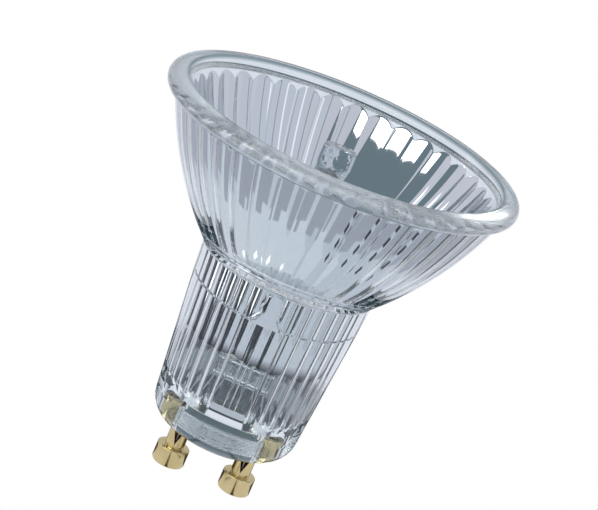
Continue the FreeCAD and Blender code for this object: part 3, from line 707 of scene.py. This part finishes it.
# %% Squeeze the capsule's ends
CAPSULE_TOP = TOP - 2.4
TIP_FOOT = CAPSULE_TOP - 4.6
FLAT_FOOT = CAPSULE_TOP - 2.6
BULB_TOP = TIP_FOOT - 2.6
BULB_FOOT = BULB_TOP - 15.0
PINCH_TOP = BULB_FOOT - 2.7
PINCH_FOOT = PINCH_TOP - 10.9
BULB_RADIUS = 4.2
BULB_WALL = 0.8
STEM_RADIUS = 1.95
TIP_RADIUS = 2.4
TIP_HALF_THICKNESS = 1.35
PINCH_HALF_WIDTH = 3.5
PINCH_HALF_THICKNESS = 1.4
PINCH_RIDGE = 0.14
PINCH_RIDGE_PITCH = 1.1
PINCH_RIDGE_FADE = 2.0
SQUARENESS = 0.3


def squeezed(co):
    """Square up the seal, ridge its faces and flatten the tip of the plain spun tube."""
    x, y, z = co / MM
    if z < BULB_FOOT:
        r, turn = math.hypot(x, y), math.atan2(y, x)
        blend = eased((BULB_FOOT - z) / (BULB_FOOT - PINCH_TOP))
        reach = r / BULB_RADIUS
        wave = math.sin(math.tau * (z - PINCH_FOOT) / PINCH_RIDGE_PITCH)
        ridge = PINCH_RIDGE * eased(wave + 0.5) * eased((PINCH_TOP - z) / PINCH_RIDGE_FADE)
        wide = PINCH_HALF_WIDTH * abs(math.cos(turn)) ** SQUARENESS
        thick = (PINCH_HALF_THICKNESS - ridge) * abs(math.sin(turn)) ** SQUARENESS
        x += (math.copysign(wide * reach, x) - x) * blend
        y += (math.copysign(thick * reach, y) - y) * blend
    if z > TIP_FOOT:
        up = eased((z - TIP_FOOT) / (FLAT_FOOT - TIP_FOOT))
        limit = STEM_RADIUS + (TIP_HALF_THICKNESS - STEM_RADIUS) * up
        y = math.copysign(min(abs(y), limit), y)
    return Vector((x, y, z)) * MM


print("capsule from", round(PINCH_FOOT, 2), "to", round(CAPSULE_TOP, 2), "mm")

# %% Spin the capsule
CAPSULE_STEPS = 128
TUBE_ROWS = 90
STEM_ROWS = 6
TIP_ROWS = 4
tube_outline = rounded([
    (0, PINCH_FOOT, 0),
    (BULB_RADIUS, PINCH_FOOT, 0.3),
    *stretch((BULB_RADIUS, PINCH_FOOT), (BULB_RADIUS, BULB_TOP), TUBE_ROWS)[1:],
    (BULB_RADIUS, TIP_FOOT - 0.4, 2.2),
    (STEM_RADIUS, TIP_FOOT, 0.35),
    *stretch((STEM_RADIUS, TIP_FOOT), (TIP_RADIUS, FLAT_FOOT), STEM_ROWS)[1:],
    (TIP_RADIUS, FLAT_FOOT, 0),
    *stretch((TIP_RADIUS, FLAT_FOOT), (TIP_RADIUS, CAPSULE_TOP), TIP_ROWS)[:-1],
    (TIP_RADIUS, CAPSULE_TOP, 0.6),
    (0, CAPSULE_TOP, 0),
])
capsule_bm = spun(tube_outline, CAPSULE_STEPS)
for vert in capsule_bm.verts:
    vert.co = squeezed(vert.co)
print("tube outline has", len(tube_outline), "points")

# %% Hollow the capsule
CAVITY_RADIUS = BULB_RADIUS - BULB_WALL
CAVITY_FOOT = PINCH_TOP + 1.0
CAVITY_TOP = TIP_FOOT - 1.0
cavity_bm = spun(rounded([
    (0, CAVITY_FOOT, 0),
    (CAVITY_RADIUS, CAVITY_FOOT, 1.6),
    (CAVITY_RADIUS, CAVITY_TOP, 2.6),
    (0, CAVITY_TOP, 0),
]), CAPSULE_STEPS)
bmesh.ops.reverse_faces(cavity_bm, faces=cavity_bm.faces)
cavity_mesh = bpy.data.meshes.new("capsule_cavity")
cavity_bm.to_mesh(cavity_mesh)
cavity_bm.free()
capsule_bm.from_mesh(cavity_mesh)
piece("quartz_capsule", capsule_bm, quartz, ["capsule_glass"])

# %% [markdown]
# ## The filament
# Tungsten wire is wound to a tight coil on the axis. A small circle spun round the axis, and lifted by
# a little at each step, is exactly that coil.

# %% Wind the filament
coil_low, coil_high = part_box("filament")
WIRE_RADIUS = 0.11
WIRE_SIDES = 8
COIL_TURNS = 22
STEPS_PER_TURN = 20


def wound_coil():
    """A closed wire wound round the axis between the coil's two ends."""
    bm = bmesh.new()
    coil_radius = coil_high.x - WIRE_RADIUS * MM
    low, high = coil_low.z + WIRE_RADIUS * MM, coil_high.z - WIRE_RADIUS * MM
    upright = Matrix.Translation((coil_radius, 0, low)) @ Matrix.Rotation(math.pi / 2, 4, "X")
    ring = bmesh.ops.create_circle(bm, cap_ends=True, segments=WIRE_SIDES, radius=WIRE_RADIUS * MM,
                                   matrix=upright)
    steps = COIL_TURNS * STEPS_PER_TURN
    face = ring["verts"][0].link_faces[0]
    geometry = [face, *face.edges, *face.verts]
    bmesh.ops.spin(bm, geom=geometry, cent=(0, 0, 0), axis=(0, 0, 1), dvec=(0, 0, (high - low) / steps),
                   angle=math.tau * COIL_TURNS, steps=steps, use_merge=False, use_duplicate=False)
    bmesh.ops.recalc_face_normals(bm, faces=bm.faces)
    return bm


piece("wound_filament", wound_coil(), tungsten, ["filament"])

# %% [markdown]
# ## The contact pins
# Each pin is turned from brass rod: a mushroom head that locks into the holder, a tubular shank with a
# notch over the lead that lies in it, and a rim rolled over inside. The notch is an arrowhead, so a
# three-sided bar laid across the pin cuts it.

# %% Turn and notch the pins
HEAD_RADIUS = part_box("contact_pin_right")[1].x / MM - PIN_SPACING / 2
HEAD_HEIGHT = 2.8
PIN_BORE = 0.8
PIN_BORE_FLOOR = 3.0
NOTCH_POINT = HEAD_HEIGHT + 0.5
NOTCH_HEIGHT = 2.0
NOTCH_WIDTH = 1.3
NOTCH_LENGTH = 4 * SHANK_RADIUS
ROLLED_TOP = PIN_SEAT + 0.5
# Height and width of a triangle whose corners are 1 from its middle.
TRIANGLE_HEIGHT = 1.5
TRIANGLE_WIDTH = math.sqrt(3)
PIN_STEPS = 96
pin_outline = rounded([
    (0, 0, 0),
    (HEAD_RADIUS, 0, 0.4),
    (HEAD_RADIUS, HEAD_HEIGHT, 0.2),
    (SHANK_RADIUS, HEAD_HEIGHT, 0.12),
    (SHANK_RADIUS, PIN_SEAT, 0),
    (ROLLED_RADIUS, PIN_SEAT, 0),
    (ROLLED_RADIUS, ROLLED_TOP, 0.2),
    (PIN_BORE, ROLLED_TOP, 0.1),
    (PIN_BORE, PIN_BORE_FLOOR, 0),
    (0, PIN_BORE_FLOOR, 0),
])


def notch():
    """Three-sided bar across the shank, its point towards the head."""
    bm = bmesh.new()
    bmesh.ops.create_cone(bm, cap_ends=True, segments=3, radius1=1, radius2=1, depth=NOTCH_LENGTH * MM)
    grow = Vector((NOTCH_WIDTH / TRIANGLE_WIDTH, NOTCH_HEIGHT / TRIANGLE_HEIGHT, 1 / MM)) * MM
    bmesh.ops.scale(bm, verts=bm.verts, vec=grow)
    bmesh.ops.rotate(bm, verts=bm.verts, matrix=Matrix.Rotation(-math.pi / 2, 3, "X"))
    bmesh.ops.translate(bm, verts=bm.verts, vec=(0, 0, NOTCH_POINT * MM + grow.y))
    return bm


for side, sign in (("left", -1), ("right", 1)):
    pin_bm = carved(spun(pin_outline, PIN_STEPS), [notch()])
    bmesh.ops.translate(pin_bm, verts=pin_bm.verts, vec=(sign * PIN_SPACING / 2 * MM, 0, 0))
    piece(f"brass_pin_{side}", pin_bm, brass, [f"contact_pin_{side}"], crease=35)

# %% [markdown]
# ## Pieces kept from the frame
# The leads, foils and cement are plain round wire, ribbon and a collar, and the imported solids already
# have their true form. They only take their finish here.

# %% Finish the hidden pieces
KEPT = {
    "inner_lead_short": tungsten, "inner_lead_long": tungsten,
    "foil_left": molybdenum, "foil_right": molybdenum,
    "outer_lead_left": molybdenum, "outer_lead_right": molybdenum,
    "capsule_cement": cement,
}
for name, material in KEPT.items():
    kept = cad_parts[name]
    kept.data.materials.clear()
    kept.data.materials.append(material)
print("finished from the frame:", ", ".join(KEPT))

# %% [markdown]
# ## Stage: a white cove and coloured cards
# Clear glass and mirrors have no look of their own: they show what stands round them. The cove that
# the camera sees is plain white. Cards round the lamp and sheets on the ground, out of the
# camera's sight, give the mirror its tone. Some are for the glass only and some for bare metal only.

# %% White cove
COVE_RADIUS = 3.0
WHITE = "#FFFFFF"


def stage_piece(name, bm, colour, strength, seen_by):
    """A plain lit sheet of the stage, seen by the camera, the glass, the metal or the whole lamp."""
    mesh = bpy.data.meshes.new(name)
    bm.to_mesh(mesh)
    bm.free()
    made = bpy.data.objects.new(name, mesh)
    made.data.materials.append(finish(name, Base_Color=(0, 0, 0, 1), Roughness=1.0, Specular_IOR_Level=0.0,
                                      Emission_Color=linear(colour), Emission_Strength=strength))
    made.visible_camera = seen_by == "camera"
    made.visible_diffuse = seen_by == "lamp"
    made.visible_glossy = seen_by in ("lamp", "metal")
    made.visible_transmission = seen_by in ("lamp", "glass")
    made.visible_shadow = False
    bpy.context.scene.collection.objects.link(made)


cove_bm = bmesh.new()
bmesh.ops.create_uvsphere(cove_bm, u_segments=32, v_segments=16, radius=COVE_RADIUS)
stage_piece("cove", cove_bm, WHITE, 1.0, "camera")
print("white cove done")

# %% [markdown]
# ### Sheets on the ground
# The bowl's outside and the neck look down, so they show the ground. Each sheet runs from one distance
# to another in a direction from the lamp's axis, in degrees and millimetres. Direction 0 is towards the
# camera, and a minus is to the left. Sheets later in the list lie over the earlier ones.

# %% Lay the sheets
SHEET_LOW = -1.5
SHEET_STEP = 0.05
OLIVE = "#2C2618"
SHEETS = [
    # name, direction, shift aside, start, end, width, colour, strength, seen by
    ("floor", 0, 0, -600, 600, 1200, "#E2E5EE", 1.06, "lamp"),
    ("right floor", 50, 0, 0, 60, 50, "#D8DCE6", 1.1, "glass"),
    ("left floor", -50, 0, 0, 60, 50, "#ECEFF6", 1.1, "glass"),
    ("back floor", 180, 0, 14, 85, 70, "#1E2F36", 1.0, "lamp"),
    ("rib light", 180, 0, 52, 70, 17, "#B4BCC6", 1.0, "glass"),
    ("behind pins", 180, 0, 3, 14, 30, "#4A4436", 1.0, "metal"),
    ("left pin", 0, -4.6, 2.4, 16, 1.3, OLIVE, 1.0, "metal"),
    ("right pin", 0, 5.4, 2.4, 16, 1.3, OLIVE, 1.0, "metal"),
]


def square():
    """A bmesh of one square with sides of 1."""
    bm = bmesh.new()
    bmesh.ops.create_grid(bm, x_segments=1, y_segments=1, size=0.5)
    return bm


for layer, (name, direction, aside, start, end, width, *look) in enumerate(SHEETS):
    sheet_bm = square()
    turn = Matrix.Rotation(math.radians(direction), 4, "Z")
    place = Matrix.Translation((aside, -(start + end) / 2, SHEET_LOW + layer * SHEET_STEP))
    spread = Matrix.Scale(MM, 4) @ turn @ place @ Matrix.Diagonal((width, end - start, 1, 1))
    bmesh.ops.transform(sheet_bm, matrix=spread, verts=sheet_bm.verts)
    stage_piece(name, sheet_bm, *look)
print("sheets on the ground:", len(SHEETS))

# %% [markdown]
# ### Fans on the ground
# Most of what the bowl and the neck show has edges that run straight out from the lamp, so these sheets
# are fans between two directions. A fan whose growth is not 0 reaches further out the more it turns from
# the camera, because a flute that looks aside shows ground that is further away. Its edge is then level
# across the flutes.

# %% Helpers for fans
def pointing(direction, height):
    """Unit vector in a direction round the lamp and at a height above the ground, in degrees."""
    a, e = math.radians(direction), math.radians(height)
    return Vector((math.sin(a) * math.cos(e), -math.cos(a) * math.cos(e), math.sin(e)))


def band(near, far):
    """A bmesh of the strip between two rows of points."""
    bm = bmesh.new()
    edges = []
    for row in (near, far):
        verts = [bm.verts.new(point) for point in row]
        edges += [bm.edges.new(pair) for pair in zip(verts, verts[1:])]
    bmesh.ops.bridge_loops(bm, edges=edges)
    return bm


# %% Lay the fans
FAN_STEPS = 8
BLACK = "#080C0E"
PANE = "#BCBDC9"
FANS = [
    # name, first direction, last direction, start, end, growth, colour, strength, seen by
    ("pane one", -134, -104, 30, 56, 0.5, PANE, 1.0, "glass"),
    ("pane two", -104, -82, 36, 56, 0.5, PANE, 1.0, "glass"),
    ("pane three", -66, -36, 30, 56, 0.5, PANE, 1.0, "glass"),
    ("pane four", -36, -14, 36, 56, 0.5, PANE, 1.0, "glass"),
    ("pane five", 2, 32, 30, 56, 0.5, PANE, 1.0, "glass"),
    ("pane six", 32, 54, 36, 56, 0.5, PANE, 1.0, "glass"),
    ("pane seven", 70, 100, 30, 56, 0.5, PANE, 1.0, "glass"),
    ("pane eight", 100, 122, 36, 56, 0.5, PANE, 1.0, "glass"),
    ("right dash one", 54, 66, 26, 30, 0, BLACK, 1.0, "glass"),
    ("right dash two", 54, 66, 34, 39, 0, BLACK, 1.0, "glass"),
    ("right dash three", 54, 66, 43, 49, 0, BLACK, 1.0, "glass"),
    ("right dash four", 54, 66, 53, 60, 0, BLACK, 1.0, "glass"),
    ("right dark", 108, 130, 54, 240, 0, BLACK, 1.0, "glass"),
    ("right hair one", 40, 46, 88, 240, 0, "#59656C", 1.0, "glass"),
    ("right hair two", 70, 77, 88, 240, 0, "#39444A", 1.0, "glass"),
    ("left shade", -140, -30, 58, 130, 0.5, "#36434A", 1.0, "glass"),
    ("left dark one", -134, -106, 58, 130, 0.5, BLACK, 1.0, "lamp"),
    ("left dark two", -100, -72, 58, 130, 0.5, BLACK, 1.0, "lamp"),
    ("left white", -70, -44, 84, 160, 0.5, WHITE, 2.2, "lamp"),
    ("left dark three", -45, -24, 74, 200, 0.5, BLACK, 1.0, "lamp"),
    ("left glint", -75, -45, 13, 16, 0, WHITE, 2.0, "glass"),
    ("bell wedge", -19, -8, 96, 260, 0, BLACK, 1.0, "glass"),
]
for layer, (name, first, last, start, end, growth, *look) in enumerate(FANS, len(SHEETS)):
    turns = [first + (last - first) * i / FAN_STEPS for i in range(FAN_STEPS + 1)]
    reach = [pointing(t, 0) / math.cos(math.radians(t) * growth) for t in turns]
    lift = Vector((0, 0, SHEET_LOW + layer * SHEET_STEP))
    fan_bm = band([(way * start + lift) * MM for way in reach], [(way * end + lift) * MM for way in reach])
    stage_piece(name, fan_bm, *look)
print("fans on the ground:", len(FANS))

# %% [markdown]
# ### Cards round the lamp
# The inside of the bowl looks up at the room: a row of windows on its right comes from one bright band
# on the left, with slate round it. The band's upper edge rises towards the camera, so that the windows
# end at one height across the flutes. Directions and heights are in degrees, sizes in metres.

# %% Hang the cards
CARD_AIM = Vector((0, 0, 0.03))
CARDS = [
    # name, direction, height, distance, width, length, colour, strength, seen by
    ("left wall", -50, 45, 0.8, 1.1, 0.9, "#74868E", 1.0, "lamp"),
    ("left strip", -105, 35, 0.6, 0.06, 0.3, WHITE, 2.0, "lamp"),
    ("left post", -125, 35, 0.6, 0.1, 0.3, "#3A464B", 1.0, "lamp"),
    ("right wall", 65, 35, 0.8, 1.1, 0.9, "#D0D8E2", 1.0, "lamp"),
    ("right line one", 25, 35, 0.7, 0.03, 0.8, "#98A2AC", 1.0, "lamp"),
    ("right line two", 50, 35, 0.7, 0.05, 0.8, "#F4F6FA", 1.2, "lamp"),
    ("right line three", 74, 35, 0.7, 0.03, 0.8, "#98A2AC", 1.0, "lamp"),
    ("right flag", 85, 1, 0.35, 0.2, 0.12, "#10171A", 1.0, "lamp"),
    ("back wall", 180, 30, 0.5, 1.0, 0.6, "#4C5E64", 1.0, "glass"),
    ("back left", -135, 5, 0.5, 0.1, 0.3, "#4A5A60", 1.0, "glass"),
    ("back right", 135, 5, 0.5, 0.1, 0.3, "#4A5A60", 1.0, "glass"),
]
for name, direction, height, distance, width, length, *look in CARDS:
    card_bm = square()
    way = pointing(direction, height)
    turn = way.to_track_quat("Z", "Y").to_matrix().to_4x4()
    place = Matrix.Translation(CARD_AIM + way * distance) @ turn @ Matrix.Diagonal((width, length, 1, 1))
    bmesh.ops.transform(card_bm, matrix=place, verts=card_bm.verts)
    stage_piece(name, card_bm, *look)
print("cards:", len(CARDS))

# %% Hang the window
WINDOW_DISTANCE = 0.5
WINDOW_FOOT = 16.0
WINDOW_BRIGHTNESS = 3.5
WINDOW_TOP = [
    # direction, height
    (-64, 30.0),
    (-52, 31.8),
    (-38, 33.8),
    (-26, 35.0),
    (-14, 35.6),
]
sill = [CARD_AIM + pointing(corner[0], WINDOW_FOOT) * WINDOW_DISTANCE for corner in WINDOW_TOP]
lintel = [CARD_AIM + pointing(*corner) * WINDOW_DISTANCE for corner in WINDOW_TOP]
stage_piece("window", band(sill, lintel), WHITE, WINDOW_BRIGHTNESS, "lamp")
print("window band has", len(WINDOW_TOP) - 1, "strips")

# %% [markdown]
# ## Surroundings and camera
# The room beyond the cards is a soft grey, darker overhead. The camera is a long lens a little above
# the lamp, rolled so that the lamp leans to the right as it does in the photograph.

# %% The room
world = bpy.data.worlds.new("studio")
bpy.context.scene.world = world
world.use_nodes = True
sky = world.node_tree
sky.nodes.clear()
way = add_node(sky, "ShaderNodeTexCoord")
split = add_node(sky, "ShaderNodeSeparateXYZ", links={"Vector": way.outputs["Generated"]})
ramp = add_node(sky, "ShaderNodeValToRGB", links={"Fac": split.outputs["Z"]})
for stop, colour in zip(ramp.color_ramp.elements, ("#DCE0E8", "#CBD0DA")):
    stop.color = linear(colour)
room = add_node(sky, "ShaderNodeBackground", {"Strength": 1.0}, {"Color": ramp.outputs["Color"]})
add_node(sky, "ShaderNodeOutputWorld", links={"Surface": room.outputs[0]})
print("room:", world.name)

# %% The camera
PHOTO_WIDTH, PHOTO_HEIGHT = 598, 510
FOCAL_PIXELS = 2908
LAMP_PIXEL = (271.5, 309.5)
LAMP_MIDDLE = Vector((0, 0, (BASE + 19.86) * MM))
DISTANCE = 0.4
ELEVATION = math.radians(18.9)
ROLL = math.radians(23.35)

lens = bpy.data.cameras.new("long lens")
lens.sensor_width = 36.0
lens.lens = FOCAL_PIXELS / PHOTO_WIDTH * lens.sensor_width
camera = bpy.data.objects.new("camera", lens)
bpy.context.scene.collection.objects.link(camera)
back = Vector((0, -math.cos(ELEVATION), math.sin(ELEVATION)))
aim = Vector((LAMP_PIXEL[0] - PHOTO_WIDTH / 2, PHOTO_HEIGHT / 2 - LAMP_PIXEL[1], -FOCAL_PIXELS))
upright = (-back).to_track_quat("-Z", "Y").to_matrix()
leaned = upright @ Matrix.Rotation(ROLL, 3, "Z") @ aim.rotation_difference(Vector((0, 0, -1))).to_matrix()
camera.matrix_world = Matrix.Translation(LAMP_MIDDLE + back * DISTANCE) @ leaned.to_4x4()
bpy.context.scene.camera = camera
print("lens", round(lens.lens, 1), "mm")

# %% [markdown]
# ## How light is followed
# A ray can pass many skins of glass before it leaves the lamp, so more bounces than usual are allowed.
# The denoiser is led by colour and not by the direction of surfaces: on clear glass that is the outer
# skin's, and would hide what lies behind it. Colours are shown as they are, without a film curve,
# because the photograph is a plain product shot.

# %% Bounces and colour
scene = bpy.context.scene
scene.cycles.max_bounces = 32
scene.cycles.transmission_bounces = 28
scene.cycles.glossy_bounces = 20
scene.cycles.diffuse_bounces = 4
scene.cycles.transparent_max_bounces = 16
scene.cycles.blur_glossy = 0.1
scene.cycles.denoising_input_passes = "RGB_ALBEDO"
scene.view_settings.view_transform = "Standard"
print("bounces:", scene.cycles.max_bounces)
